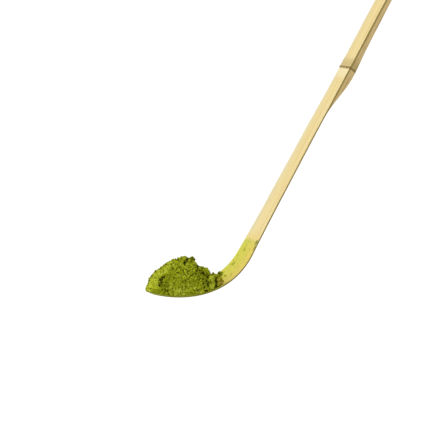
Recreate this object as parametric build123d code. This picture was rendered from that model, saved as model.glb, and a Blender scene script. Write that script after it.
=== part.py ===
from build123d import *
import os
from math import cos, radians, sin, sqrt

# Bamboo tea scoop carrying a heap of powdered tea. Millimetres and degrees.
# +X runs from the tip towards the handle, Y goes across the strip and +Z is up.
# The bowl is level and the shaft raised, as a loaded scoop is held.
# The origin is on the front of the handle, where the fingers grip it.

# Front line of the strip, from the tip: three arcs, then straight
tip_slope = -17.0
bowl_radius = 45.0
bowl_sweep = 19.0
throat_radius = 29.0
throat_sweep = 20.0
bend_radius = 21.0
bend_sweep = 35.0
strip_length = 182.0

# Places along the strip
bowl_full_width = 12.0
neck_before_shaft = 6.2
taper_after_bend = 8.0
node_from_tip = 102.5
flare_length = 15.5
flare_before_node = 0.5
handle_after_node = 9.5
grip_before_end = 42.0

# Widths
bowl_width = 10.4
neck_width = 8.7
shaft_width = 7.2
waist_width = 5.95
node_width = 5.6
handle_width = 5.6
end_width = 5.3

# Thickness of the strip's edge
tip_thickness = 0.45
bowl_thickness = 0.5
shaft_thickness = 0.55
node_thickness = 2.8
handle_thickness = 2.4
end_thickness = 1.7

# Hollow of the front face, below a straight line across it
tip_hollow = 0.25
bowl_hollow = 0.7
shaft_hollow = 0.1
handle_hollow = -0.12

# Bulge of the back face
tip_bulge = 0.3
bowl_bulge = 0.85
shaft_bulge = 0.55
handle_bulge = 0.35

# Finishing of the bamboo
tip_overcut = 0.1
front_edge_break = 0.1
back_edge_break = 0.2
end_bevel = 0.3
scar_radius = 0.42
scar_proud = 0.24
scar_after_node = 1.2
scar_inset = 0.15
section_pitch = 4.0

# Heap of tea
seat_gap = 0.15
seat_depth = 9.0
seat_margin = 4.0
heap_start = 0.5
heap_end = 24.6
heap_section_count = 11
heap_rim = 0.3
heap_edge_height = 0.9
shoulder_from_start = 3.0
shoulder_height = 6.0
crown_at = 12.7
crown_height = 10.6
back_before_end = 5.0
back_height = 5.4
heap_sink = 3.0
heap_fullness = 0.55
heap_crest_width = 0.45
crack_from_tip = 2.6
crack_lean = 34.0

# Lumps and crumbs lying on the heap and past its heel
lump_sink = 0.55
clod_sides = 6
clod_cap = 0.5
clod_tilt = 25.0
scatter_turn = 2.4
crest_radius = 1.2
crest_behind_crown = 2.4
crest_spread = 1.2
crest_pitch = 0.8
heel_count = 6
heel_radius = 1.1
heel_shrink = 0.07
heel_before_end = 5.4
heel_pitch = 1.05
heel_spread = 2.6
crumb_count = 6
crumb_radius = 0.45
crumb_after_heap = 1.2
crumb_pitch = 0.55
crumb_spread = 1.5
crumb_off_middle = 1.9
crumb_turn = 2.1

curved_length = radians(1) * (
    bowl_radius * bowl_sweep + throat_radius * throat_sweep + bend_radius * bend_sweep
)
bowl_length = radians(1) * bowl_radius * bowl_sweep
neck_at = curved_length - neck_before_shaft
shaft_at = curved_length + taper_after_bend
flare_top_at = node_from_tip - flare_before_node
waist_at = flare_top_at - flare_length
handle_at = node_from_tip + handle_after_node
grip_at = strip_length - grip_before_end
tip_radius = bowl_width / 2 + tip_overcut

width_stops = [
    (0.0, bowl_width),
    (bowl_full_width, bowl_width),
    (neck_at, neck_width),
    (shaft_at, shaft_width),
    (waist_at, waist_width),
    (node_from_tip, node_width),
    (handle_at, handle_width),
    (strip_length, end_width),
]
thickness_stops = [
    (0.0, tip_thickness),
    (bowl_length, bowl_thickness),
    (shaft_at, shaft_thickness),
    (waist_at, shaft_thickness),
    (flare_top_at, node_thickness),
    (node_from_tip, node_thickness),
    (handle_at, handle_thickness),
    (strip_length, end_thickness),
]
hollow_stops = [
    (0.0, tip_hollow),
    (bowl_length, bowl_hollow),
    (shaft_at, shaft_hollow),
    (waist_at, shaft_hollow),
    (node_from_tip, handle_hollow),
    (strip_length, handle_hollow),
]
bulge_stops = [
    (0.0, tip_bulge),
    (bowl_length, bowl_bulge),
    (shaft_at, shaft_bulge),
    (waist_at, shaft_bulge),
    (node_from_tip, handle_bulge),
    (strip_length, handle_bulge),
]


def along(stops, distance):
    """Value at a distance from the tip, smooth through the stops without overshoot."""
    spans = list(zip(stops, stops[1:]))
    slopes = [(b[1] - a[1]) / (b[0] - a[0]) for a, b in spans]
    grades = [0.0]
    for before, after in zip(slopes, slopes[1:]):
        turning = before * after <= 0
        grades.append(0.0 if turning else 2 * before * after / (before + after))
    grades.append(0.0)
    for index, (a, b) in enumerate(spans):
        if distance <= b[0]:
            break
    run = b[0] - a[0]
    t = (distance - a[0]) / run
    ease = t * t * (3 - 2 * t)
    lean = grades[index] * t * (1 - t) ** 2 - grades[index + 1] * t * t * (1 - t)
    return a[1] + (b[1] - a[1]) * ease + run * lean


# Front line, drawn from the tip and then shifted so that the grip is the origin
tip_way = (cos(radians(tip_slope)), sin(radians(tip_slope)))
bowl_arc = JernArc((0, 0), tip_way, bowl_radius, bowl_sweep)
throat_arc = JernArc(bowl_arc @ 1, bowl_arc % 1, throat_radius, throat_sweep)
bend_arc = JernArc(throat_arc @ 1, throat_arc % 1, bend_radius, bend_sweep)
straight = Line(bend_arc @ 1, bend_arc @ 1 + (bend_arc % 1) * (strip_length - curved_length))
drawn_line = Plane.XZ * Wire([bowl_arc, throat_arc, bend_arc, straight])
grip_point = drawn_line.position_at(grip_at, PositionMode.LENGTH)
front_line = drawn_line.moved(Location(-grip_point))


def station(distance):
    """Plane square to the strip at a distance from the tip, its Y along the face's normal."""
    point = front_line.position_at(distance, PositionMode.LENGTH)
    way = front_line.tangent_at(distance, PositionMode.LENGTH)
    return Plane(point, x_dir=(0, 1, 0), z_dir=way)


def strip_section(distance):
    """Cross section of the bamboo: hollowed front, straight edges, bulged back."""
    half = along(width_stops, distance) / 2
    edge = along(thickness_stops, distance)
    hollow = along(hollow_stops, distance)
    bulge = along(bulge_stops, distance)
    front = Bezier((-half, 0), (0, -2 * hollow), (half, 0))
    near = Line((half, 0), (half, -edge))
    back = Bezier((half, -edge), (0, -edge - 2 * bulge), (-half, -edge))
    far = Line((-half, -edge), (-half, 0))
    return station(distance) * make_face([front, near, back, far])


def spaced(first, last, count):
    """Even distances from first to last, without last itself."""
    return [first + (last - first) * step / count for step in range(count)]


# Bamboo strip, lofted through even cross sections
section_count = round(strip_length / section_pitch)
places = spaced(0.0, strip_length, section_count) + [strip_length]
strip = loft([strip_section(place) for place in places])

# Round tip, cut square to the bowl's front
tip = station(0.0)
tip_plane = Plane(tip.origin, x_dir=tip.z_dir, z_dir=tip.y_dir)
corner_block = Rectangle(tip_radius, 2 * bowl_width, align=(Align.MIN, Align.CENTER))
corners = corner_block - Pos(tip_radius, 0) * Circle(tip_radius)
strip -= extrude(tip_plane * corners, bowl_width, both=True)

# Broken edges: beveled at the cut end, wider on the back, fine on the front
cut_end = strip.faces().filter_by(GeomType.PLANE).sort_by(Axis.Z)[-1]
strip = chamfer(cut_end.edges(), end_bevel)
middle = station(shaft_at)
back_point = middle.from_local_coords((0, -shaft_thickness - shaft_bulge, 0))
back_face = strip.faces().sort_by_distance(back_point)[0]
strip = chamfer(back_face.edges(), back_edge_break)
front_face = strip.faces().sort_by_distance(middle.origin)[0]
strip = chamfer(front_face.edges(), front_edge_break)

# Raised scar across the node, where the sheath grew
scar_at = node_from_tip + scar_after_node
scar_half = along(width_stops, scar_at) / 2 - scar_inset
scar_crest = -2 * along(hollow_stops, scar_at)
scar_depth = scar_proud - scar_radius
scar_path = station(scar_at) * Bezier(
    (-scar_half, scar_depth), (0, scar_depth + scar_crest), (scar_half, scar_depth)
)
scar_end = Plane(scar_path @ 0, z_dir=scar_path % 0)
strip += sweep(scar_end * Circle(scar_radius), path=scar_path)


bamboo_scoop = strip


def tea_half(distance):
    """Half width of the tea at a distance from the tip, inside the rim."""
    half = along(width_stops, distance) / 2
    if distance < tip_radius:
        half = min(half, sqrt(tip_radius**2 - (tip_radius - distance) ** 2))
    return half - heap_rim


def heap_section(distance):
    """Upright cross section of the heap, reaching down through the bowl."""
    half = tea_half(distance)
    height = along(heap_stops, distance)
    side = height * heap_fullness
    # a six-point Bezier curve weighs its points 1, 5, 10, 10, 5, 1 at its middle
    peak = (32 * height - 10 * side + 2 * heap_sink) / 20
    upright = Plane(station(distance).origin, x_dir=(0, 1, 0), z_dir=(1, 0, 0))
    top = Bezier(
        (half, -heap_sink),
        (half, side),
        (half * heap_crest_width, peak),
        (-half * heap_crest_width, peak),
        (-half, side),
        (-half, -heap_sink),
    )
    base = Line((-half, -heap_sink), (half, -heap_sink))
    return upright * make_face([top, base])


def seat_section(distance):
    """Cross section of everything below the tea: the bowl's front raised by the seat gap."""
    half = along(width_stops, distance) / 2
    hollow = along(hollow_stops, distance)
    wide = half + seat_margin
    outline = [
        Line((-wide, seat_gap), (-half, seat_gap)),
        Bezier((-half, seat_gap), (0, seat_gap - 2 * hollow), (half, seat_gap)),
        Line((half, seat_gap), (wide, seat_gap)),
        Line((wide, seat_gap), (wide, -seat_depth)),
        Line((wide, -seat_depth), (-wide, -seat_depth)),
        Line((-wide, -seat_depth), (-wide, seat_gap)),
    ]
    return station(distance) * make_face(outline)


# Heap of tea, seated on the bowl
heap_stops = [
    (heap_start, heap_edge_height),
    (heap_start + shoulder_from_start, shoulder_height),
    (crown_at, crown_height),
    (heap_end - back_before_end, back_height),
    (heap_end, heap_edge_height),
]
heap_places = spaced(heap_start, heap_end, heap_section_count) + [heap_end]
mound = loft([heap_section(place) for place in heap_places])
seat_places = [place for place in places if place < shaft_at]
seat = loft([seat_section(place) for place in seat_places])
heap = mound - seat

# Crack that parts the smooth front of the heap from the rest, leaning towards the handle
crack_foot = station(crack_from_tip).origin
crack_normal = (cos(radians(crack_lean)), 0, -sin(radians(crack_lean)))
crack = Plane(crack_foot, x_dir=(0, 1, 0), z_dir=crack_normal)
front_side = crack * Box(
    3 * bowl_width, 3 * bowl_width, heap_end, align=(Align.CENTER, Align.CENTER, Align.MAX)
)
tea_heap = heap - front_side
tea_front_clod = heap & front_side


def lump(distance, across, radius):
    """Clod of tea with flat sides, sunk a share of its height into the surface it lies on."""
    floor = station(distance).origin
    half = along(width_stops, distance) / 2
    rise = -along(hollow_stops, distance) * (1 - (across / half) ** 2)
    if distance < heap_end:
        rise = along(heap_stops, distance) * (1 - (across / tea_half(distance)) ** 2)
    girth = RegularPolygon(radius, clod_sides)
    cap = RegularPolygon(radius * clod_cap, clod_sides)
    clod = loft([Pos(0, 0, -radius) * cap, girth, Pos(0, 0, radius) * cap], ruled=True)
    turned = Rot(clod_tilt * sin(distance), clod_tilt * cos(distance), distance * clod_tilt) * clod
    return Pos(floor.X, across, floor.Z + rise + radius * (1 - 2 * lump_sink)) * turned


# Crest lumps, just behind the crown
crest_at = crown_at + crest_behind_crown
crest = lump(crest_at, crest_spread / 2, crest_radius)
crest += lump(crest_at + crest_pitch, -crest_spread / 2, crest_radius)
tea_crest_lumps = crest - mound

# Heel lumps, scattered down the handle end of the heap
heel = None
for step in range(heel_count):
    place = heap_end - heel_before_end + step * heel_pitch
    across = heel_spread * sin(step * scatter_turn)
    clod = lump(place, across, heel_radius * (1 - step * heel_shrink))
    heel = clod if heel is None else heel + clod
tea_heel_lumps = heel - mound - seat - tea_crest_lumps

# Loose crumbs on the bamboo past the heel
crumbs = None
for step in range(crumb_count):
    place = heap_end + crumb_after_heap + step * crumb_pitch
    across = crumb_off_middle + crumb_spread * sin(step * crumb_turn)
    grain = lump(place, across, crumb_radius)
    crumbs = grain if crumbs is None else crumbs + grain
tea_crumbs = crumbs - seat - tea_heel_lumps

nodes = {
    "bamboo_scoop": bamboo_scoop,
    "tea_heap": tea_heap,
    "tea_front_clod": tea_front_clod,
    "tea_crest_lumps": tea_crest_lumps,
    "tea_heel_lumps": tea_heel_lumps,
    "tea_crumbs": tea_crumbs,
}
os.makedirs("parts", exist_ok=True)
for name, shape in nodes.items():
    export_step(shape, f"parts/{name}.step")
    print(name, round(shape.volume, 2), shape.is_valid, len(shape.solids()), len(shape.faces()))
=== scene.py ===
from math import cos, pi, radians, sin

import bmesh
import bpy
import numpy as np
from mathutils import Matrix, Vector
from mathutils.kdtree import KDTree


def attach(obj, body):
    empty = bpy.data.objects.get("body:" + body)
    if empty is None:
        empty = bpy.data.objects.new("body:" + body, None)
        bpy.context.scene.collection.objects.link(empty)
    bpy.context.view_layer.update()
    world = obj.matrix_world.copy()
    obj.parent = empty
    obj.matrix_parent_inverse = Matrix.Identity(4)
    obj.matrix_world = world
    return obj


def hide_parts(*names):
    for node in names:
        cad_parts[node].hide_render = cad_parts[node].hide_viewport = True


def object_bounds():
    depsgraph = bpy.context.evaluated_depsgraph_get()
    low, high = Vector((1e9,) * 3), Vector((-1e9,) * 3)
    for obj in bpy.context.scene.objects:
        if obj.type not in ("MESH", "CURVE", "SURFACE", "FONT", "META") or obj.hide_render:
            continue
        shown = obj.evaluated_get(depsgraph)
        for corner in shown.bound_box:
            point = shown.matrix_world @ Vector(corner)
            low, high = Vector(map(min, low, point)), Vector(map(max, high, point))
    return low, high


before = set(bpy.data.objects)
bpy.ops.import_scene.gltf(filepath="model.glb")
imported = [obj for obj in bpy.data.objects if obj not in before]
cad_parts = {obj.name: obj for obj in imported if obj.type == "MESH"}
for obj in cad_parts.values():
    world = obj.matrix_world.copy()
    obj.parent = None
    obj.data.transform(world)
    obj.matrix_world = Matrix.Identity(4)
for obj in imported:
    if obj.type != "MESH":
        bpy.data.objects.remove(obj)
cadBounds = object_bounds()
print("frame loaded:", ", ".join(sorted(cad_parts)))

mm = 0.001


# sRGB hex to the linear colour that sockets take
def paint(code):
    part = [int(code[i:i + 2], 16) / 255 for i in (0, 2, 4)]
    return [c / 12.92 if c <= 0.04045 else ((c + 0.055) / 1.055) ** 2.4 for c in part] + [1.0]


# adds a node: a key that names one of its settings sets it, any other key is an input;
# a node or a socket is linked, anything else becomes the input's value
def addNode(tree, kind, given):
    node = tree.nodes.new("ShaderNode" + kind)
    inputs = {}
    for key, value in given.items():
        if isinstance(key, str) and hasattr(node, key):
            setattr(node, key, value)
        else:
            inputs[key] = value
    for key, value in inputs.items():
        if isinstance(value, bpy.types.Node):
            value = next(out for out in value.outputs if out.enabled)
        if isinstance(value, bpy.types.NodeSocket):
            tree.links.new(value, node.inputs[key])
        else:
            node.inputs[key].default_value = value
    return node


def newMaterial(name):
    material = bpy.data.materials.new(name)
    material.use_nodes = True
    material.node_tree.nodes.clear()
    return material, material.node_tree


# 0 up to a start, 1 from a run past it
def rising(value, start, run):
    return np.clip((value - start) / run, 0, 1)


# 1 at a middle value, 0 from a reach away from it
def closeTo(value, middle, reach):
    return np.clip(1 - np.abs(value - middle) / reach, 0, 1)


# the strip's driving sizes in mm, as in the solids
strip = {
    "tipSlope": -17.0,  # degrees
    "arcs": [(45.0, 19.0), (29.0, 20.0), (21.0, 35.0)],  # radius, sweep in degrees: bowl, throat, bend
    "length": 182.0,
    "gripAt": 140.0,  # the frame's origin
    "tipRadius": 5.3,
    "tipTrim": 1.0,
    "tipFullness": 2.2,  # 2 would be a half circle
    # stops: distance from the tip, value there
    "width": [
        (0, 10.4), (12, 10.4), (31.67, 8.7), (45.87, 7.2),
        (86.5, 5.95), (102.5, 5.6), (112, 5.6), (182, 5.3),
    ],
    # along the edges, pared thin at the tip
    "thickness": [
        (0, 0.14), (1.2, 0.4), (14.92, 0.5), (45.87, 0.55), (86.5, 0.55),
        (102, 2.8), (102.5, 2.8), (112, 2.4), (182, 1.7),
    ],
    "hollow": [(0, 0.25), (14.92, 0.7), (45.87, 0.1), (86.5, 0.1), (102.5, -0.12), (182, -0.12)],
    "bulge": [(0, 0.3), (14.92, 0.85), (45.87, 0.55), (86.5, 0.55), (102.5, 0.35), (182, 0.35)],
    # a hand-cut strip isn't dead straight
    "sway": [(0, 0), (80, 0), (94, -0.25), (108, -0.15), (125, 0), (182, 0)],
    "frontRound": 0.11,
    "backRound": 0.2,
    "roundMost": (0.4, 0.3),  # of the edge's thickness, of half the width
    "endBevel": 0.3,
    # hand-cut edges wander: how far, radians for each mm along and start of two waves, from where on
    "edgeWander": 0.025,
    "edgeWaves": [(0.31, 0.4), (0.83, 2.1)],
    "edgeTrueTo": 6.0,
    "scarAt": 103.7,
    # the node's scar, the groove below it and the swelling above it: height, place past the scar, spread
    "nodeRings": [(0.23, 0.0, 0.34), (-0.07, -1.0, 0.45), (0.07, 2.3, 1.3)],
    "nodeWaver": (0.12, 1.4, 0.6),  # how far, radians for each mm across, start
    "nodeSink": (0.12, 6),  # share lost at the edges, and its power
    "knifeFlats": (0.02, 7.0, 0.05),  # depth, radians over half the width, radians for each mm along
    "flatsFullAt": 3.0,
    "bulgeFullAt": 2.0,
    "tipBulge": 0.2,  # least share of the bulge
    # rings of points: round the tip from an angle in degrees, then up to a place at a spacing
    "noseFrom": 6.5,
    "noseRings": 26,
    "rings": [(48, 0.5), (84, 1.0), (98, 0.5), (110, 0.15)],
    "handleSpacing": 1.0,
    # points of a ring: across a face, down a side, and angles in degrees round an edge
    "acrossPoints": 35,
    "sidePoints": 6,
    "roundAngles": (22.5, 45, 67.5),
}


# value at distances from the tip, smooth through the stops
def along(stops, s):
    at, value = np.array(stops, float).T
    slope = np.diff(value) / np.diff(at)
    before, after = slope[:-1], slope[1:]
    same = before * after > 0
    grade = np.zeros(len(at))
    grade[1:-1][same] = 2 * before[same] * after[same] / (before[same] + after[same])
    i = np.clip(np.searchsorted(at, s) - 1, 0, len(slope) - 1)
    run = at[i + 1] - at[i]
    t = np.clip((s - at[i]) / run, 0, 1)
    lean = grade[i] * t * (1 - t) ** 2 - grade[i + 1] * t * t * (1 - t)
    return value[i] + (value[i + 1] - value[i]) * t * t * (3 - 2 * t) + run * lean


# x, z and slope of the front's middle line, drawn from the tip
def drawnLine(s):
    s = np.asarray(s, float)
    slope, start = radians(strip["tipSlope"]), 0.0
    early = np.minimum(s, 0)
    x, z, turn = early * cos(slope), early * sin(slope), np.full(s.shape, slope)
    for radius, sweep in strip["arcs"]:
        run = radius * radians(sweep)
        part = np.clip(s - start, 0, run) / radius
        x = x + radius * (np.sin(slope + part) - sin(slope))
        z = z + radius * (cos(slope) - np.cos(slope + part))
        turn = turn + part
        slope, start = slope + radians(sweep), start + run
    rest = np.maximum(s - start, 0)
    return x + rest * cos(slope), z + rest * sin(slope), turn


gripX, gripZ, _ = drawnLine(strip["gripAt"])
tipShift = np.array([-gripX, 0.0, -gripZ])  # from the tip's own corner to the frame's origin


# points in mm of the frame, from distance along, across and height over the front line
def stripPoint(s, across, height):
    x, z, turn = drawnLine(s)
    return np.stack([x - np.sin(turn) * height, across + 0 * x, z + np.cos(turn) * height], -1) + tipShift


# the front line where tea can lie, finely marked, from before the tip to past the bend
lineS = np.arange(-6, 60, 0.04)
lineX, lineZ, lineTurn = drawnLine(lineS)
batch = 4000  # points looked up at a time, to spare memory


# the other way round: along, across and height of points near the bowl end
def stripPlace(points):
    s, height = np.empty(len(points)), np.empty(len(points))
    for first in range(0, len(points), batch):
        some = slice(first, first + batch)
        x, _, z = (points[some] - tipShift).T
        near = np.argmin((x[:, None] - lineX) ** 2 + (z[:, None] - lineZ) ** 2, axis=1)
        dx, dz, turn = x - lineX[near], z - lineZ[near], lineTurn[near]
        s[some] = lineS[near] + dx * np.cos(turn) + dz * np.sin(turn)
        height[some] = -dx * np.sin(turn) + dz * np.cos(turn)
    return s, points[:, 1], height


# half the strip's width, narrowing round the tip
def stripHalf(s):
    tip, trim, power = strip["tipRadius"], strip["tipTrim"], strip["tipFullness"]
    left = np.clip((tip - s) / (tip - trim), 0, 1)
    return np.minimum(along(strip["width"], s) / 2, tip * (1 - left**power) ** (1 / power))


# height of the hollowed front over its line
def frontHeight(s, across):
    half = along(strip["width"], s) / 2
    return -along(strip["hollow"], s) * (1 - np.minimum((across / half) ** 2, 1))


# a mesh object from points in mm, with named values at its points
def makePiece(name, points, faces, values, body, material, replaced=()):
    mesh = bpy.data.meshes.new(name)
    mesh.from_pydata((points * mm).tolist(), [], [list(f) for f in faces])
    mesh.validate()
    for key, value in values.items():
        value = np.asarray(value, np.float32)
        kind = "FLOAT" if value.ndim == 1 else "FLOAT_VECTOR"
        layer = mesh.attributes.new(key, kind, "POINT")
        layer.data.foreach_set("value" if value.ndim == 1 else "vector", value.ravel())
    mesh.shade_smooth()
    mesh.materials.append(material)
    piece = bpy.data.objects.new(name, mesh)
    bpy.context.scene.collection.objects.link(piece)
    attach(piece, body)
    if replaced:
        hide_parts(*replaced)
    print(f"{name}: {len(points)} points, {len(faces)} faces")


# bamboo split from the culm, planed and scraped with a knife, bent over heat, never varnished: a satin straw
# skin with faint lengthwise streaks, toasted at the bend, and brown fibre dashes where the flesh is cut
bamboo = {
    "skin": "EBD79A",
    "skinDeep": "E0C685",
    "skinPale": "F1E3B4",
    "farPaintedLight": "DDD5B2",
    "toasted": "E6C862",
    "scorched": "D2B058",
    "flesh": "EFCF92",
    "denseFibre": "A58E4E",
    "fibreDash": "A07C42",
    "scarBrown": "7E5F31",
    "waxBand": "EFE0B2",
    "teaFilm": "BECB3C",
    "teaSmear": "757C08",
    "rimDust": "868C18",
    # width and length in mm, detail, offset; real bundles are near 0.4 mm wide, drawn coarser to show
    "fibres": {
        "bundle": (0.6, 34.0, 2.0, 3.1),
        "broad": (2.6, 60.0, 1.0, 11.7),
        "dashes": (0.3, 7.0, 1.0, 23.9),
        "scraped": (0.16, 22.0, 2.0, 7.3),
    },
    "fibreRoughness": 0.6,
    "clouds": {"cloud": (1.111, 3.0), "mottle": (0.4167, 2.0)},  # size in mm, detail
    "nodeWander": 0.5,  # mm, how far the node's bands stray
    "filmFray": 2.0,  # mm, how far the tea's stain strays
    "bundleEnds": 0.34,  # mm between the dots on the cut end
    # soft steps: what is read, where the step starts and ends (places in mm), what it gives there
    "steps": {
        "deep": ("bundle", 0.35, 0.68, 0.0, 1.0),
        "pale": ("broad", 0.5, 0.75, 0.0, 0.7),
        # painted light: the face is paler towards its far edge
        "far": ("across", 0.4, 3.6, 0.0, 0.75),
        "bendIn": ("along", 22.0, 27.0, 0.35, 1.0),
        "bendOut": ("along", 39.0, 46.5, 1.0, 0.0),
        "scorchOut": ("along", 25.0, 33.0, 0.7, 0.0),
        "dense": ("depth", 0.45, 0.8, 0.0, 1.0),
        "dashed": ("dashes", 0.6, 0.7, 0.0, 0.75),
        "dotted": ("dots", 0.3, 0.4, 1.0, 0.0),
        "bandIn": ("wander", 99.2, 101.6, 0.0, 0.75),
        "bandOut": ("wander", 103.2, 103.5, 1.0, 0.0),
        "dullIn": ("wander", 103.9, 104.2, 0.0, 0.45),
        "dullOut": ("wander", 105.2, 108.5, 1.0, 0.0),
        "scarIn": ("wander", 103.35, 103.75, 0.0, 1.0),
        "scarOut": ("wander", 103.95, 104.45, 0.85, 0.0),
        "filmOut": ("ragged", 43.7, 44.6, 1.0, 0.0),
        "filmLean": ("across", -3.4, 3.4, 0.3, 0.72),
        "filmPatch": ("mottle", 0.3, 0.7, 0.6, 1.25),
        "rimOut": ("ragged", 22.0, 33.0, 0.97, 0.12),
        "dipOut": ("ragged", 6.0, 15.0, 0.9, 0.0),
        "satin": ("bundle", 0.3, 0.7, 0.4, 0.52),  # roughness
    },
    # each shows only where both of its pair do
    "pairs": {
        "bend": ("bendIn", "bendOut"),
        "scorch": ("scorchOut", "bendOut"),
        "sideFlesh": ("side", "dense"),
        "dash": ("dashed", "dashMost"),
        "bundleEnd": ("end", "dotted"),
        "band": ("bandIn", "bandOut"),
        "bloom": ("band", "skinOnly"),  # wax grows on the skin alone
        "dull": ("dullIn", "dullOut"),
        "scar": ("scarIn", "scarOut"),
        "leaning": ("filmOut", "filmLean"),
        "patchy": ("skinOnly", "filmPatch"),
        "film": ("leaning", "patchy"),
        "rim": ("side", "rimOut"),
        "dipped": ("back", "dipOut"),
        "grooves": ("dashes", "flesh"),
    },
    # colours one over another: the skin, what is cut through it and the node's bands, later the tea's dust
    "layers": [
        ("deep", "skinDeep"), ("pale", "skinPale"), ("far", "farPaintedLight"), ("bend", "toasted"),
        ("scorch", "scorched"), ("back", "flesh"), ("side", "denseFibre"), ("sideFlesh", "flesh"),
        ("dash", "fibreDash"), ("end", "flesh"), ("bundleEnd", "fibreDash"),
        ("bloom", "waxBand"), ("dull", "denseFibre"), ("scar", "scarBrown"),
    ],
    "dustLayers": [("film", "teaFilm"), ("rim", "rimDust"), ("dipped", "rimDust")],
    "dashOnSkin": 0.1,
    "dashInFlesh": 0.8,  # more than on the skin
    # marks on the skin: colour, scale along, across and in depth, fray in mm;
    # then for each mark: along, across, radius in mm, strength
    "flecks": ("fibreDash", (0.45, 1.0, 1.0), 0.0, [
        (46.4, -1.2, 0.22, 0.7), (44.9, -1.6, 0.2, 0.7), (49.6, 0.3, 0.16, 0.7), (61.0, -1.9, 0.14, 0.7),
        (73.5, 1.1, 0.15, 0.7), (128.0, -1.3, 0.2, 0.7), (151.0, 0.8, 0.18, 0.7),
    ]),
    "smears": ("teaSmear", (0.8, 1.0, 0.3), 0.9, [
        (41.7, -3.2, 1.0, 0.9), (39.9, -3.6, 0.8, 0.7), (38.6, 1.2, 0.7, 0.6),
        (33.2, 2.2, 0.9, 0.55), (29.5, -1.0, 0.8, 0.35), (28.4, 3.2, 1.0, 0.6),
    ]),
    "markBrim": (0.3, 1.1),  # of its radius, where a mark starts and ends to fade
    "filmRough": 0.3,  # added where tea clings
    "scrapeDepth": 0.06,  # mm
    "scrapeStrength": 0.35,
    "finish": {"IOR": 1.5, "Specular IOR Level": 0.3},
}


# what the bamboo's steps read: places on the strip in mm, and its fibres and clouds
def bambooGrain(tree, place):
    at = addNode(tree, "SeparateXYZ", {0: place}).outputs
    made = {"along": at[0], "across": at[1]}
    made["depth"] = addNode(tree, "Math", {"operation": "MULTIPLY", 0: at[2], 1: -1.0})
    for name, (width, length, detail, shift) in bamboo["fibres"].items():
        drawn = addNode(tree, "Mapping", {
            "Vector": place, "Location": (shift, shift, shift), "Scale": (1 / length, 1 / width, 1 / width),
        })
        made[name] = addNode(tree, "TexNoise", {
            "Vector": drawn, "Scale": 1.0, "Detail": detail, "Roughness": bamboo["fibreRoughness"],
        })
    for name, (size, detail) in bamboo["clouds"].items():
        made[name] = addNode(tree, "TexNoise", {"Vector": place, "Scale": 1 / size, "Detail": detail})
    both = addNode(tree, "Math", {"operation": "ADD", 0: made["cloud"], 1: made["mottle"]})
    strays = {"wander": (made["cloud"], bamboo["nodeWander"]), "ragged": (both, bamboo["filmFray"])}
    for name, (noise, far) in strays.items():
        made[name] = addNode(tree, "Math", {"operation": "MULTIPLY_ADD", 0: noise, 1: far, 2: at[0]})
    ends = 1 / bamboo["bundleEnds"]
    cutThrough = addNode(tree, "Mapping", {"Vector": place, "Scale": (0.0, ends, ends)})
    made["dots"] = addNode(tree, "TexVoronoi", {"Vector": cutThrough, "Scale": 1.0})
    return made


# round marks on the skin, each an amount and its colour's name
def bambooMarks(tree, kind, place, made):
    colour, scale, fray, marks = bamboo[kind]
    scaled = addNode(tree, "Mapping", {"Vector": place, "Scale": scale})
    layers = []
    for s, across, radius, most in marks:
        middle = (s * scale[0], across, 0.0)
        away = addNode(tree, "VectorMath", {"operation": "DISTANCE", 0: scaled, 1: middle}).outputs["Value"]
        frayed = addNode(tree, "Math", {"operation": "MULTIPLY_ADD", 0: made["mottle"], 1: fray, 2: away})
        inner, outer = (0.5 * fray + radius * part for part in bamboo["markBrim"])  # noise lies round a half
        spread = addNode(tree, "MapRange", {
            "interpolation_type": "SMOOTHSTEP", 0: frayed, 1: inner, 2: outer, 3: most, 4: 0.0,
        })
        amount = addNode(tree, "Math", {"operation": "MULTIPLY", 0: spread, 1: made["skinOnly"]})
        layers.append((amount, colour))
    return layers


def bambooMaterial():
    material, tree = newMaterial("bambooPlanedUnvarnished")
    place = addNode(tree, "Attribute", {"attribute_name": "stripPlace"}).outputs["Vector"]
    face = addNode(tree, "Attribute", {"attribute_name": "stripFace"}).outputs["Vector"]
    made = bambooGrain(tree, place)
    made["side"], made["back"], made["end"] = addNode(tree, "SeparateXYZ", {0: face}).outputs
    flesh = addNode(tree, "Math", {"operation": "MAXIMUM", 0: made["side"], 1: made["back"]})
    made["flesh"] = flesh
    made["skinOnly"] = addNode(tree, "Math", {"operation": "SUBTRACT", 0: 1.0, 1: flesh})
    made["dashMost"] = addNode(tree, "Math", {
        "operation": "MULTIPLY_ADD", 0: flesh, 1: bamboo["dashInFlesh"], 2: bamboo["dashOnSkin"],
    })
    for name, (source, start, stop, first, last) in bamboo["steps"].items():
        made[name] = addNode(tree, "MapRange", {
            "interpolation_type": "SMOOTHSTEP", 0: made[source], 1: start, 2: stop, 3: first, 4: last,
        })
    for name, (first, second) in bamboo["pairs"].items():
        made[name] = addNode(tree, "Math", {"operation": "MULTIPLY", 0: made[first], 1: made[second]})

    layers = [(made[name], colour) for name, colour in bamboo["layers"]]
    layers += bambooMarks(tree, "flecks", place, made)
    layers += [(made[name], colour) for name, colour in bamboo["dustLayers"]]
    layers += bambooMarks(tree, "smears", place, made)
    colour = paint(bamboo["skin"])
    for amount, name in layers:
        colour = addNode(tree, "Mix", {"data_type": "RGBA", 0: amount, 6: colour, 7: paint(bamboo[name])})

    rough = addNode(tree, "Math", {
        "operation": "MULTIPLY_ADD", 0: made["film"], 1: bamboo["filmRough"], 2: made["satin"],
    })
    relief = addNode(tree, "Math", {"operation": "ADD", 0: made["scraped"], 1: made["grooves"]})
    bump = addNode(tree, "Bump", {
        "Strength": bamboo["scrapeStrength"], "Distance": bamboo["scrapeDepth"] * mm, "Height": relief,
    })
    shader = addNode(tree, "BsdfPrincipled", {
        "Base Color": colour, "Roughness": rough, "Normal": bump, **bamboo["finish"],
    })
    addNode(tree, "OutputMaterial", {"Surface": shader})
    return material


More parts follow.
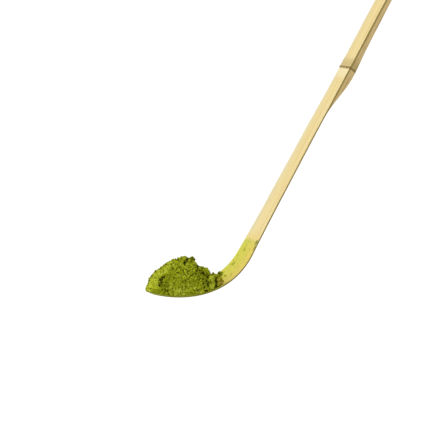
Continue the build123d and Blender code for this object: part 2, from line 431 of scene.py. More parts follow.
# places of the strip's rings of points, from the tip to the cut end
def stripRings():
    tip, bevelAt = strip["tipRadius"], strip["length"] - strip["endBevel"]
    angles = np.linspace(radians(strip["noseFrom"]), pi / 2, strip["noseRings"])
    nose = tip - (tip - strip["tipTrim"]) * np.cos(angles)
    parts, start = [nose[:-1]], tip
    for stop, spacing in strip["rings"] + [(bevelAt, strip["handleSpacing"])]:
        parts.append(np.arange(start, stop, spacing))
        start = stop
    return np.concatenate(parts + [[bevelAt, strip["length"]]])


# one ring after another, each running over the front, round one edge, over the back and round the other
def bambooStrip():
    s = stripRings()[:, None]
    half = along(strip["width"], s) / 2
    waves = sum(np.sin(s * pace + start) for pace, start in strip["edgeWaves"])
    wander = strip["edgeWander"] * waves * rising(s, strip["edgeTrueTo"], 1)
    edge, hollow, bulge = (along(strip[name], s) for name in ("thickness", "hollow", "bulge"))
    bevel = np.where(s == strip["length"], strip["endBevel"], 0.0)
    reach = stripHalf(s) + wander - bevel
    ofEdge, ofHalf = strip["roundMost"]
    roundMost = np.minimum(edge * ofEdge, reach * ofHalf)
    frontRound = np.minimum(strip["frontRound"], roundMost)
    backRound = np.minimum(strip["backRound"], roundMost)

    def front(y):
        far, pace, start = strip["nodeWaver"]
        past = s + far * np.sin(y * pace + start) - strip["scarAt"]
        node = sum(h * np.exp(-(((past - at) / spread) ** 2)) for h, at, spread in strip["nodeRings"])
        lost, power = strip["nodeSink"]
        crest = 1 - lost * np.abs(y / half) ** power
        return -hollow * (1 - (y / half) ** 2) + node * crest - bevel

    def back(y):
        depth, over, twist = strip["knifeFlats"]
        flats = depth * np.cos(y / half * over + twist * s) * rising(s, 0, strip["flatsFullAt"])
        swell = bulge * np.clip(s / strip["bulgeFullAt"], strip["tipBulge"], 1)
        return -edge - swell * (1 - (y / half) ** 2) + flats + bevel

    u = np.sin(np.linspace(-pi / 2, pi / 2, strip["acrossPoints"]))  # crowded towards the edges
    bend = np.radians(strip["roundAngles"])
    drop = np.linspace(0, 1, strip["sidePoints"])
    frontY = u * (reach - frontRound)
    backY = u[::-1] * (reach - backRound)
    top = front(reach) - frontRound  # height where the side begins
    foot = back(reach) + backRound
    edgeY = np.hstack([
        reach - frontRound + frontRound * np.sin(bend),
        reach + 0 * drop,
        reach - backRound + backRound * np.cos(bend),
    ])
    edgeHeight = np.hstack([
        top + frontRound * np.cos(bend),
        top + (foot - top) * drop,
        foot - backRound * np.sin(bend),
    ])
    across = np.hstack([frontY, edgeY, backY, -edgeY[:, ::-1]])
    height = np.hstack([front(frontY), edgeHeight, back(backY), edgeHeight[:, ::-1]])

    rings, loop = across.shape
    sAll = np.repeat(s, loop, 1)
    points = stripPoint(sAll, across + along(strip["sway"], s), height).reshape(-1, 3)
    i, j = np.meshgrid(np.arange(rings - 1) * loop, np.arange(loop), indexing="ij")
    k = (j + 1) % loop
    faces = np.stack([i + j, i + loop + j, i + loop + k, i + k], -1).reshape(-1, 4).tolist()
    wide, side = len(u), edgeY.shape[1]  # points across a face, and round an edge
    for first, flip in ((0, False), ((rings - 1) * loop, True)):  # the two ends face opposite ways
        backEnd = first + 2 * wide + side - 1
        caps = [[first + n, backEnd - n, backEnd - n - 1, first + n + 1] for n in range(wide - 1)]
        caps.append(list(range(first + wide - 1, first + wide + side + 1)))
        caps.append(list(range(backEnd, backEnd + side + 1)) + [first])
        faces += [cap[::-1] for cap in caps] if flip else caps
    # which face a point is on: side, back, end
    zone = np.zeros((rings, loop, 3))
    zone[:, wide + 1:wide + side - 1, 0] = 1
    zone[:, 2 * wide + side + 1:2 * wide + 2 * side - 1, 0] = 1
    zone[:, wide + side - 2:2 * wide + side + 2, 1] = 1
    zone[-1, :, 2] = 1
    values = {
        "stripPlace": np.stack([sAll, across, height], -1).reshape(-1, 3),
        "stripFace": zone.reshape(-1, 3),
    }
    makePiece("bambooStrip", points, faces, values, "scoop", bambooMaterial(), ["bamboo_scoop"])


bambooStrip()


# tea leaf ground to dust between stones and heaped loose: dead matt, clinging in clods,
# yellow-green, with shade painted almost black into the gaps between them
tea = {
    "shade": "8A9314",
    "mid": "ADB51C",
    "bright": "CAD146",
    # painted shade: the colour laid into pits, hollows and gaps between clods
    "gapShade": "282D02",
    "brown": "B29A34",
    "powder": 0.22,  # mm; the real dust is near 0.01, drawn coarse enough to show
    "powderDetail": {"Detail": 2.0, "Roughness": 0.7},
    "patch": 1.3,  # mm, lighter and darker green
    "patchDetail": {"Detail": 3.0, "Roughness": 0.6},
    "cloudShare": 0.5,  # of the patches in a clod's lightness
    "toneShare": 0.6,  # of the clod's own tone
    # soft steps: what is read, where the step starts and ends, what it gives there
    "steps": {
        "toMid": ("light", 0.3, 0.6, 0.0, 1.0),
        "toBright": ("light", 0.56, 0.9, 0.0, 1.0),
        "glint": ("grain", 0.52, 0.72, 0.0, 0.5),
        "speck": ("grain", 0.48, 0.3, 0.0, 0.5),
        "inGapShade": ("pitShade", 0.12, 0.85, 0.0, 0.94),
    },
    "layers": [
        ("toMid", "mid"), ("toBright", "bright"), ("glint", "bright"),
        ("speck", "shade"), ("stale", "brown"), ("inGapShade", "gapShade"),
    ],
    "grainDepth": 0.1,  # mm
    "grainStrength": 0.6,
    "finish": {"Roughness": 0.95, "Diffuse Roughness": 0.9, "Specular IOR Level": 0.02},
}


def teaMaterial():
    material, tree = newMaterial("greenTeaStoneMilledLoose")
    where = addNode(tree, "Attribute", {"attribute_name": "teaPlace"}).outputs["Vector"]
    made = {}
    for name, values in {"pitShade": "teaShadeAndDark", "tone": "teaTone", "stale": "teaBrown"}.items():
        made[name] = addNode(tree, "Attribute", {"attribute_name": values}).outputs["Fac"]
    for name, look in {"patch": "patch", "grain": "powder"}.items():
        made[name] = addNode(tree, "TexNoise", {
            "Vector": where, "Scale": 1 / tea[look], **tea[look + "Detail"],
        })
    cloud = addNode(tree, "Math", {"operation": "MULTIPLY", 0: made["patch"], 1: tea["cloudShare"]})
    made["light"] = addNode(tree, "Math", {
        "operation": "MULTIPLY_ADD", 0: made["tone"], 1: tea["toneShare"], 2: cloud,
    })
    for name, (source, start, stop, first, last) in tea["steps"].items():
        made[name] = addNode(tree, "MapRange", {
            "interpolation_type": "SMOOTHSTEP", 0: made[source], 1: start, 2: stop, 3: first, 4: last,
        })
    colour = paint(tea["shade"])
    for name, over in tea["layers"]:
        colour = addNode(tree, "Mix", {"data_type": "RGBA", 0: made[name], 6: colour, 7: paint(tea[over])})
    bump = addNode(tree, "Bump", {
        "Strength": tea["grainStrength"], "Distance": tea["grainDepth"] * mm, "Height": made["grain"],
    })
    shader = addNode(tree, "BsdfPrincipled", {"Base Color": colour, "Normal": bump, **tea["finish"]})
    addNode(tree, "OutputMaterial", {"Surface": shader})
    return material


teaLook = teaMaterial()

# how tea breaks into crumbs, clings and settles, in every tea piece; sizes in mm
crumble = {
    "cutAt": (0.55, 0.95),  # of a crumb's radius, where its flat sides lie
    "squash": (0.8, 1.25),
    "level": 3,
    "flats": 6,
    "waves": 28,
    "waveSpread": (0.6, 1.3),
    "ripples": [(0.06, 1.0), (0.05, 0.45)],  # height, size
    "leastShell": 0.02,  # mm3
    "steepest": -0.25,  # least z of a normal that loose crumbs lie on
    "crest": (0.0, 0.5),  # y of a normal on the crest, and its reach
    "beyond": (0.3, 0.3),  # the same on the crest's far side
    "farShade": (0.48, 1.12),  # painted shade there, and how much more by chance
    "free": (0.2, 0.6),  # where a core starts to shrink over the bamboo, and the run to its full shrink
    "clear": 0.15,  # by which the solids clear the bowl
    "footTop": 0.6,  # tea lower than this is let down
    "footStretch": 1.25,
    "lift": 0.03,  # left between tea and bamboo
    "pitRounds": 14,
    "pitFull": 0.2,
}


# a unit ball's points and triangles
def ball(level):
    shape = bmesh.new()
    bmesh.ops.create_icosphere(shape, subdivisions=level, radius=1.0)
    points = np.array([v.co for v in shape.verts])
    faces = np.array([[v.index for v in f.verts] for f in shape.faces])
    shape.free()
    return points, faces


# crumbs with broken sides: balls cut by a few chance planes, squashed and turned
def crumbs(centres, sizes, level, rng, flats):
    unit, faces = ball(level)
    count = len(centres)
    points = np.repeat(unit[None], count, 0)
    for _ in range(flats):
        way = rng.normal(size=(count, 1, 3))
        way /= np.linalg.norm(way, axis=2, keepdims=True)
        most = rng.uniform(*crumble["cutAt"], (count, 1, 1))
        points = points - np.maximum((points * way).sum(2, keepdims=True) - most, 0) * way
    points = points * rng.uniform(*crumble["squash"], (count, 1, 3))
    turn = np.linalg.qr(rng.normal(size=(count, 3, 3)))[0]
    turn *= np.sign(np.linalg.det(turn))[:, None, None]
    points = points @ turn * np.asarray(sizes)[:, None, None] + np.asarray(centres)[:, None]
    every = faces[None] + (np.arange(count) * len(unit))[:, None, None]
    return points.reshape(-1, 3), every.reshape(-1, 3)


# soft noise with lumps of about one size: a sum of chance waves
def ripple(points, size, rng):
    waves = crumble["waves"]
    way = rng.normal(size=(waves, 3))
    pace = 2 * pi / size * rng.uniform(*crumble["waveSpread"], waves)
    way *= (pace / np.linalg.norm(way, axis=1))[:, None]
    return np.cos(points @ way.T + rng.uniform(0, 2 * pi, waves)).sum(1) * (2 / waves) ** 0.5


# joins overlapping lumps into one skin of even squares
def fused(points, faces, voxel):
    mesh = bpy.data.meshes.new("lumps")
    mesh.from_pydata(points.tolist(), [], faces.tolist())
    lump = bpy.data.objects.new("lumps", mesh)
    bpy.context.scene.collection.objects.link(lump)
    change = lump.modifiers.new("skin", "REMESH")
    change.mode = "VOXEL"
    change.voxel_size = voxel
    skin = lump.evaluated_get(bpy.context.evaluated_depsgraph_get()).to_mesh()
    joined = np.empty(len(skin.vertices) * 3)
    skin.vertices.foreach_get("co", joined)
    quads = np.array([q.vertices[:] for q in skin.polygons])
    bpy.data.objects.remove(lump)
    bpy.data.meshes.remove(mesh)
    return joined.reshape(-1, 3), quads


def cornersOf(points, quads):
    return [points[quads[:, i]] for i in range(4)]


# drops the shells of air bubbles shut inside a skin, and specks of one or two squares
def withoutBubbles(points, quads):
    shell = np.arange(len(points))
    joined = False
    while not joined:
        lower = shell.copy()
        first = shell[quads].min(1)
        for i in range(4):
            np.minimum.at(lower, quads[:, i], first)
        lower = lower[lower]
        joined = np.array_equal(lower, shell)
        shell = lower
    a, b, c, d = cornersOf(points, quads)
    volume = (a * (np.cross(b, c) + np.cross(c, d))).sum(1) / 6
    filled = np.bincount(shell[quads[:, 0]], weights=volume, minlength=len(points))
    quads = quads[filled[shell[quads[:, 0]]] > crumble["leastShell"]]
    used, index = np.unique(quads, return_inverse=True)
    return points[used], index.reshape(-1, 4)


def normalsOf(points, quads):
    a, b, c, d = cornersOf(points, quads)
    square = np.cross(c - a, d - b)
    normals = np.zeros_like(points)
    for i in range(4):
        np.add.at(normals, quads[:, i], square)
    return normals / np.maximum(np.linalg.norm(normals, axis=1, keepdims=True), 1e-9)


# how far a point lies below the surface around it, in mm
def pitDepth(points, quads):
    pairs = np.vstack([quads[:, [i, (i + 1) % 4]] for i in range(4)])
    share = np.bincount(pairs.ravel(), minlength=len(points)).astype(float)[:, None]
    soft = points.copy()
    for _ in range(crumble["pitRounds"]):
        total = np.zeros_like(points)
        np.add.at(total, pairs[:, 0], soft[pairs[:, 1]])
        np.add.at(total, pairs[:, 1], soft[pairs[:, 0]])
        soft = total / np.maximum(share, 1)
    return ((soft - points) * normalsOf(points, quads)).sum(1)


# points and triangles of a CAD node, in mm
def cadShape(node):
    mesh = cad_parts[node].data
    mesh.calc_loop_triangles()
    points = np.array([v.co for v in mesh.vertices]) / mm
    faces = np.array([t.vertices[:] for t in mesh.loop_triangles])
    shared, index = np.unique(np.round(points, 4), axis=0, return_inverse=True)
    return shared, index.ravel()[faces]


# height over the bamboo's front
def clearance(points):
    s, across, height = stripPlace(points)
    return height - frontHeight(s, across)


# chance spots on the upper faces of a skin, evenly by area, with their normals
def strewn(points, quads, count, rng, lowest=0.25):
    a, b, c, d = cornersOf(points, quads)
    normals = np.cross(c - a, d - b)
    area = np.linalg.norm(normals, axis=1)
    middle = (a + b + c + d) / 4
    share = area * (clearance(middle) > lowest) * (normals[:, 2] > crumble["steepest"] * area)
    pick = rng.choice(len(quads), count, p=share / share.sum())
    u, v = rng.random((2, count, 1))
    spots = (a[pick] * (1 - u) + b[pick] * u) * (1 - v) + (d[pick] * (1 - u) + c[pick] * u) * v
    return spots, normals[pick] / area[pick][:, None]


# of many chance clods, keeps the ones that don't crowd a larger one
def apart(spots, sizes, share):
    kept = []
    held, reach = np.zeros((len(spots), 3)), np.zeros(len(spots))
    for i in np.argsort(-sizes):
        n = len(kept)
        away = ((held[:n] - spots[i]) ** 2).sum(1)
        if n == 0 or np.all(away > (share * (reach[:n] + sizes[i])) ** 2):
            held[n], reach[n] = spots[i], sizes[i]
            kept.append(i)
    return np.array(kept)


# keeps tea out of the bamboo and lets its foot down onto it
def settle(points):
    above = clearance(points)
    foot = np.maximum((above - crumble["clear"]) * crumble["footStretch"], 0) + crumble["lift"]
    lower = np.where(above < crumble["footTop"], foot, above)
    turn = drawnLine(stripPlace(points)[0])[2]
    return points + (lower - above)[:, None] * np.stack([-np.sin(turn), 0 * turn, np.cos(turn)], -1)


# value of the nearest clod
def fromClods(points, centres, values):
    tree = KDTree(len(centres))
    for i, centre in enumerate(centres):
        tree.insert(centre, i)
    tree.balance()
    return np.asarray(values)[[tree.find(point)[1] for point in points]]


# hollows that the photograph shows in the near flank: the way in, how deep for its radius,
# how dark the shade painted into it is, and a line of x, y, z, radius in mm from the tip's corner
hollows = {
    "crevice": ((0.45, 0.8, -0.4), 1.2, 0.72, [
        (5.0, -2.7, 4.4, 0.4), (4.3, -2.75, 3.8, 0.8), (3.65, -2.9, 3.05, 1.15),
        (3.2, -3.25, 1.95, 1.15), (3.25, -3.7, 1.0, 0.6), (3.5, -4.1, 0.2, 0.4),
    ]),
    "underCrevice": ((0.2, 0.9, -0.2), 0.35, 0.42, [
        (3.9, -3.6, 1.4, 0.9), (4.2, -4.1, 0.3, 1.3), (5.2, -4.6, -0.8, 1.0),
    ]),
    "notch": ((-0.1, 0.75, -0.65), 1.1, 0.8, [
        (13.9, -0.7, 8.2, 0.6), (13.2, -1.4, 7.75, 0.85), (11.9, -2.3, 7.4, 0.55),
    ]),
    "ridgeGap": ((0.0, 0.2, -1.0), 1.0, 0.5, [
        (9.9, -0.8, 8.4, 0.4), (10.5, 0.3, 8.7, 0.6), (11.1, 1.6, 8.7, 0.6),
    ]),
    "upperGap": ((0.0, 0.8, -0.5), 1.1, 0.9, [
        (17.7, -2.5, 3.9, 0.5), (18.3, -2.6, 3.3, 0.9), (19.0, -2.8, 2.7, 0.8), (19.6, -3.0, 2.2, 0.5),
    ]),
    "uprightGap": ((0.0, 0.85, -0.4), 1.2, 0.7, [
        (19.3, -3.0, 2.6, 0.6), (19.0, -3.7, 1.0, 0.75), (18.8, -4.3, -0.3, 0.5),
    ]),
    "clodGap": ((0.0, 0.85, -0.3), 1.3, 0.7, [
        (20.0, -3.6, 0.6, 0.45), (21.2, -3.75, 0.4, 0.6), (22.2, -3.5, 0.1, 0.6),
    ]),
    "heelGap": ((-0.2, 0.8, -0.4), 1.2, 1.0, [
        (22.1, -4.1, -0.7, 0.6), (21.8, -4.2, 0.0, 0.65), (22.2, -3.6, 0.6, 0.65),
        (22.7, -2.5, 1.2, 0.6), (23.7, -0.9, 1.5, 0.45),
    ]),
    "rimGap": ((0.0, 0.95, -0.1), 0.8, 0.85, [(17.6, -4.9, -1.25, 0.35), (18.0, -4.9, -1.45, 0.5)]),
    "stepGap": ((0.0, 0.7, -0.7), 1.2, 0.8, [
        (15.9, -1.6, 5.9, 0.5), (16.4, -1.5, 5.6, 0.75), (17.0, -1.3, 5.3, 0.5),
    ]),
    "footGap": ((0.0, 0.9, -0.3), 1.0, 0.6, [(14.6, -4.6, -0.4, 0.4), (15.2, -4.7, -0.9, 0.6)]),
    "tipSpot": ((0.5, 0.8, -0.3), 0.3, 0.5, [(0.72, -1.05, 0.65, 0.35), (0.85, -1.3, 0.4, 0.4)]),
}
# painted shade, a duller green round the crevice and under the front clod: how strong, and a line as above
shadeDims = {
    "creviceShade": (0.9, [(5.6, -3.0, 4.2, 1.0), (4.6, -3.3, 2.8, 1.35), (4.2, -3.8, 0.6, 1.3)]),
    "tipShade": (0.9, [
        (1.5, -2.5, 0.0, 0.7), (2.2, -3.3, -0.05, 0.9), (2.9, -3.8, 0.0, 1.0), (4.0, -3.8, 0.0, 1.0),
    ]),
}
shadeEnd = 1.45  # radii: shade spreads past a hollow's brim


# how many radii a point is from a line of stops, and the radius there
def fromStops(points, stops, count=40):
    stops = np.array(stops)
    share, at = np.linspace(0, 1, count), np.linspace(0, 1, len(stops))
    line = np.stack([np.interp(share, at, stops[:, k]) for k in range(4)], -1)
    away = np.linalg.norm(points[:, None] - (line[None, :, :3] + tipShift), axis=2) / line[None, :, 3]
    near = np.argmin(away, axis=1)
    return away[np.arange(len(points)), near], line[near, 3]


# pushes points in along the hollows, and says how much painted shade darkens and dulls each point
def carve(points):
    dark, dull = np.zeros(len(points)), np.zeros(len(points))
    for inward, depth, darkness, stops in hollows.values():
        away, radius = fromStops(points, stops)
        close = np.clip(1 - away, 0, 1)
        push = depth * radius * close * close * (3 - 2 * close)
        points = points + push[:, None] * np.array(inward) / np.linalg.norm(inward)
        # painted shade in and round each hollow
        dark = np.maximum(dark, darkness * np.clip(shadeEnd - away, 0, 1))
    for shadeDim, stops in shadeDims.values():
        away, _ = fromStops(points, stops)
        dull = np.maximum(dull, shadeDim * np.clip(shadeEnd - away, 0, 1))
    return points, dark, dull


# one tea piece: a core with clods set into it, fused to one skin and roughened
def teaPiece(name, node, core, quads, clods, rng, make):
    spots, sizes, tone, brown, dark = clods
    lumpPoints, lumpFaces = crumbs(spots, sizes, crumble["level"], rng, crumble["flats"])
    allPoints = np.vstack([core, lumpPoints])
    allFaces = np.vstack([quads[:, [0, 1, 2]], quads[:, [0, 2, 3]], lumpFaces + len(core)])
    points, quads = withoutBubbles(*fused(allPoints, allFaces, make["voxel"]))
    bumps = make["rough"] * sum(high * ripple(points, size, rng) for high, size in crumble["ripples"])
    points = points + normalsOf(points, quads) * bumps[:, None]
    points, inHollow, dull = carve(points)
    points = settle(points)
    # painted shade: pits and creases darken by how deep each point lies
    pitShade = np.clip(pitDepth(points, quads) / crumble["pitFull"], -1, 1)
    values = {
        "teaPlace": points,
        "teaShadeAndDark": np.clip(pitShade + fromClods(points, spots, dark) + inHollow, 0, 1),
        # painted shade dims the tone round the crevice and under the front clod
        "teaTone": fromClods(points, spots, tone) * (1 - dull),
        "teaBrown": fromClods(points, spots, brown),
    }
    makePiece(name, points, quads, values, "tea", teaLook, [node])
    return points, quads


# the main heap: packed on the bowl side, large loose clods towards the heel; sizes in mm
heap = {
    "seed": 5,
    "coreVoxel": 0.3,
    "voxel": 0.13,
    "shrink": 0.42,  # which the clods stand out again
    "looseShrink": 0.8,
    "loose": (15.5, 3.0),  # from the tip, and the run to fully loose
    "tries": 5200,
    "clodSize": (0.26, 0.72),
    "looseLarger": 1.1,
    "crowding": 0.5,
    "sunk": (0.4, 0.85),  # of a clod's radius
    "ridgeSmaller": 0.3,
    "ridgeRise": 0.5,
    "rough": 1.0,
    # painted gap shade: less among the packed clods, more between the loose ones
    "packedShade": -0.16,
    "looseShade": 0.34,
    # painted shade on the crest's crumbs, its far side and high up
    "ridgeShade": 0.8,
    "upperShade": 0.6,
    "upper": (4.0, 3.0),  # over the bamboo, and the run to the full share
    "paintedLightTop": 4.0,  # below this the tea is painted lighter, as light falls on the lower flank
    "paintedLightTone": (0.16, 0.36),  # share of chance, lightness
    "leastTone": 0.08,
    "looseDull": 0.35,
}


# how loose the tea lies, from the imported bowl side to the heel
def looseness(points):
    return rising(stripPlace(points)[0], *heap["loose"])


# the CAD solid as an even skin, and its core, drawn in from the upper faces so that clods make the surface
def coreOf(node, voxel, tight, loose):
    points, quads = fused(*cadShape(node), voxel)
    shrink = tight + (loose - tight) * looseness(points)
    free = rising(clearance(points), *crumble["free"])
    return points, quads, points - normalsOf(points, quads) * (shrink * free)[:, None]


# painted shade on crumbs, by chance: on the crest, its far side and high up
def crestShade(make, ridge, normals, spots, rng):
    chance = rng.random(len(ridge))
    least, more = crumble["farShade"]
    far = closeTo(normals[:, 1], *crumble["beyond"]) * (least + more * chance)
    high = rising(clearance(spots), *make["upper"]) * rng.random(len(ridge))
    return make["ridgeShade"] * ridge * chance + far + make["upperShade"] * high


def teaHeap():
    rng = np.random.default_rng(heap["seed"])
    points, quads, core = coreOf("tea_heap", heap["coreVoxel"], heap["shrink"], heap["looseShrink"])
    spots, normals = strewn(points, quads, heap["tries"], rng)
    small, large = heap["clodSize"]
    loose = looseness(spots)
    sizes = small + (large - small) * rng.random(len(spots)) ** 2  # few are large
    sizes = sizes * (1 + heap["looseLarger"] * loose * rng.random(len(spots)))
    kept = apart(spots, sizes, heap["crowding"])
    spots, normals, sizes, loose = spots[kept], normals[kept], sizes[kept], loose[kept]
    ridge = closeTo(normals[:, 1], *crumble["crest"])
    sizes = sizes * (1 - heap["ridgeSmaller"] * ridge)  # along the top small crumbs stand clear
    sunk = rng.uniform(*heap["sunk"], len(kept)) - heap["ridgeRise"] * ridge
    spots = spots - normals * (sizes * sunk)[:, None]
    dark = heap["packedShade"] + (heap["looseShade"] - heap["packedShade"]) * loose
    dark = dark + crestShade(heap, ridge, normals, spots, rng)
    # painted light: the lower flank's tone is lifted
    low = 1 - rising(clearance(spots), 0, heap["paintedLightTop"])
    part, lighter = heap["paintedLightTone"]
    tone = rng.random(len(kept)) * (1 - heap["looseDull"] * loose) * (1 - part + part * low)
    tone = tone + (heap["leastTone"] + lighter * low) * (1 - loose)
    clods = (spots, sizes, tone, np.zeros(len(kept)), dark)
    return teaPiece("teaHeap", "tea_heap", core, quads, clods, rng, heap)


# the front clod over the tip: smoother than the rest, and painted lighter as light falls on it; sizes in mm
frontClod = {
    "seed": 11,
    "coreVoxel": 0.25,
    "voxel": 0.12,
    "shrink": 0.08,
    "tries": 1500,
    "clodSize": (0.2, 0.55),
    "crowding": 0.55,
    "sunk": (0.5, 0.85),  # of a clod's radius
    "ridge": (2.0, 2.0),  # from the tip, and the run to the full ridge
    "ridgeRise": 0.4,
    "rough": 0.7,
    "tone": (0.65, 1.0),
    # painted shade: a dimmer tone and darker crumbs along the crest, its far side and high up
    "ridgeShadeDim": 0.5,
    # painted gap shade, less than on the heap
    "dark": -0.25,
    "ridgeShade": 0.9,
    "upperShade": 0.45,
    "upper": (2.5, 2.0),  # over the bamboo, and the run to the full share
}


def teaFrontClod():
    rng = np.random.default_rng(frontClod["seed"])
    shrink = frontClod["shrink"]
    points, quads, core = coreOf("tea_front_clod", frontClod["coreVoxel"], shrink, shrink)
    spots, normals = strewn(points, quads, frontClod["tries"], rng)
    sizes = rng.uniform(*frontClod["clodSize"], len(spots))
    kept = apart(spots, sizes, frontClod["crowding"])
    spots, normals, sizes = spots[kept], normals[kept], sizes[kept]
    ridge = closeTo(normals[:, 1], *crumble["crest"]) * rising(stripPlace(spots)[0], *frontClod["ridge"])
    sunk = rng.uniform(*frontClod["sunk"], len(kept)) - frontClod["ridgeRise"] * ridge
    spots = spots - normals * (sizes * sunk)[:, None]
    dark = frontClod["dark"] + crestShade(frontClod, ridge, normals, spots, rng)
    # painted light: the front clod's tone is held high
    tone = rng.uniform(*frontClod["tone"], len(kept))
    tone = tone * (1 - frontClod["ridgeShadeDim"] * ridge * rng.random(len(kept)))
    clods = (spots, sizes, tone, np.zeros(len(kept)), dark)
    return teaPiece("teaFrontClod", "tea_front_clod", core, quads, clods, rng, frontClod)


# separate clods: CAD node, seed, mm that it lies below the solid, and for each clod
# along, across, height over the front line, radius in mm, tone, brownness, darkness of the painted shade
lumps = {
    # lower, so that the notch shows
    "teaCrestLumps": ("tea_crest_lumps", 21, 0.55, [
        (16.35, -0.9, 9.75, 0.8, 0.15, 0, 0.65), (15.6, 0.5, 9.2, 0.8, 0.4, 0, 0.2),
        (17.0, 0.3, 8.9, 0.7, 0.2, 0, 0.25), (16.6, -1.4, 8.7, 0.7, 0.85, 0, -0.1),
        (13.55, 0.0, 10.55, 0.5, 0.2, 0, 0.4), (16.9, 0.1, 9.9, 0.45, 0.1, 0, 0.7),
    ]),
    "teaHeelLumps": ("tea_heel_lumps", 22, 0.0, [
        (18.3, -0.5, 7.0, 0.7, 0.15, 0, 0.35), (18.6, 1.2, 6.3, 0.9, 0.4, 0, 0.0),
        (20.6, -0.4, 5.3, 1.25, 0.5, 0, 0.0), (19.7, -2.5, 4.1, 0.95, 0.5, 0, 0.0),
        (22.2, 0.3, 4.55, 1.2, 0.5, 0, 0.0), (21.7, -3.0, 2.2, 1.15, 0.8, 0, 0.0),
        (23.2, -1.7, 2.4, 1.0, 0.6, 0, 0.0), (20.7, -3.85, 0.9, 0.95, 0.8, 0, 0.0),
        (22.3, -3.6, 0.7, 0.7, 0.6, 0.1, 0.0), (24.1, -3.0, 0.75, 0.9, 0.4, 1.0, -0.2),
        (23.9, -4.0, 0.4, 0.6, 0.1, 0.9, 0.15), (18.6, -4.2, 0.8, 0.65, 0.6, 0.45, 0.0),
        (24.1, 0.4, 1.8, 0.9, 0.4, 0, 0.1), (24.7, 0.2, 2.6, 0.5, 0.0, 0, 0.8),
        (24.9, -1.0, 1.0, 0.8, 0.3, 0.6, 0.1), (25.6, 1.6, 0.9, 0.75, 0.3, 0, 0.25),
        (24.0, 2.6, 1.6, 0.95, 0.5, 0, 0.0), (21.6, 3.1, 2.4, 1.1, 0.6, 0, 0.0),
        (19.6, 2.7, 4.5, 1.0, 0.5, 0, 0.0), (22.9, 3.7, 0.9, 0.8, 0.5, 0, 0.0),
    ]),
    "teaCrumbs": ("tea_crumbs", 23, 0.0, [
        (27.9, 3.0, 0.3, 0.6, 0.0, 0.1, 0.9), (26.1, 3.7, 0.9, 0.55, 0.05, 0, 0.7),
        (27.1, 2.1, 0.15, 0.42, 0.2, 0, 0.35), (26.3, 0.4, 0.0, 0.4, 0.3, 0.2, 0.2),
        (28.6, 3.3, 0.2, 0.3, 0.2, 0, 0.3), (25.9, -1.9, 0.0, 0.3, 0.4, 0.4, 0.1),
        (28.3, 0.6, -0.1, 0.25, 1.0, 0.7, -0.4),
    ]),
}
# how they are made: a clod's own flat sides, then small crumbs stuck all over it; sizes in mm
lumpMake = {
    "flats": 9,
    "coreVoxel": 0.16,
    "voxel": 0.095,
    "shrink": 0.12,
    "tries": 900,
    "lowest": 0.05,  # over the bamboo
    "crumbSize": (0.13, 0.34),
    "crowding": 0.6,
    "sunk": (0.3, 0.8),  # of a crumb's radius
    "rough": 0.7,
    "toneSpread": 0.2,
}


def teaLumps(name):
    node, seed, lower, clods = lumps[name]
    rng = np.random.default_rng(seed)
    s, across, height, radius, tone, brown, dark = np.array(clods).T
    middles = stripPoint(s, across, height)
    clodPoints, clodFaces = crumbs(middles, radius, crumble["level"], rng, lumpMake["flats"])
    points, faces = cadShape(node)
    allPoints = np.vstack([points - [0, 0, lower], clodPoints])
    allFaces = np.vstack([faces, clodFaces + len(points)])
    points, quads = fused(allPoints, allFaces, lumpMake["coreVoxel"])
    spots, normals = strewn(points, quads, lumpMake["tries"], rng, lumpMake["lowest"])
    sizes = rng.uniform(*lumpMake["crumbSize"], len(spots))
    kept = apart(spots, sizes, lumpMake["crowding"])
    spots, normals, sizes = spots[kept], normals[kept], sizes[kept]
    spots = spots - normals * (sizes * rng.uniform(*lumpMake["sunk"], len(kept)))[:, None]
    tone, brown, dark = (fromClods(spots, middles, values) for values in (tone, brown, dark))
    spread = lumpMake["toneSpread"]
    tone = np.clip(tone + rng.uniform(-spread, spread, len(kept)), 0, 1)
    core = points - normalsOf(points, quads) * lumpMake["shrink"]
    return teaPiece(name, node, core, quads, (spots, sizes, tone, brown, dark), rng, lumpMake)


heapSkin = teaHeap()
frontSkin = teaFrontClod()
lumpSkins = {name: teaLumps(name) for name in lumps}

# loose grains lying on the tea; sizes in mm
grains = {
    "seed": 31,  # the dust's too
    "count": 4200,
    "shares": (0.7, 0.12, 0.18),  # on the heap, the front clod and the heel
    "lowest": 0.1,  # over the bamboo
    "size": (0.06, 0.17),
    "sizePower": 2,  # few are large
    "proud": 0.35,  # of a grain's radius
    "darkest": 0.5,
    "darkPower": 3,  # few are dark
    "level": 1,
    "flats": 3,
}
grainRng = np.random.default_rng(grains["seed"])


# chance sizes, most of them small
def grainSizes(make, count, rng):
    small, large = make["size"]
    return small + (large - small) * rng.random(count) ** make["sizePower"]


# single grains, each of one tone and darkness
def grainPiece(name, body, spots, sizes, darkest, rng):
    points, faces = crumbs(spots, sizes, grains["level"], rng, grains["flats"])
    dark = np.zeros(len(spots))
    if darkest > 0:
        dark = rng.random(len(spots)) ** grains["darkPower"] * darkest
    each = len(points) // len(spots)
    values = {
        "teaPlace": points,
        "teaShadeAndDark": np.repeat(dark, each),
        "teaTone": np.repeat(rng.random(len(spots)), each),
        "teaBrown": np.zeros(len(points)),
    }
    makePiece(name, points, faces, values, body, teaLook)


def teaGrains(rng):
    found = []
    for skin, share in zip((heapSkin, frontSkin, lumpSkins["teaHeelLumps"]), grains["shares"]):
        found.append(strewn(*skin, int(grains["count"] * share), rng, grains["lowest"]))
    spots, normals = (np.vstack(part) for part in zip(*found))
    sizes = grainSizes(grains, len(spots), rng)
    spots = spots + normals * (sizes * grains["proud"])[:, None]
    grainPiece("teaGrains", "tea", spots, sizes, grains["darkest"], rng)


teaGrains(grainRng)

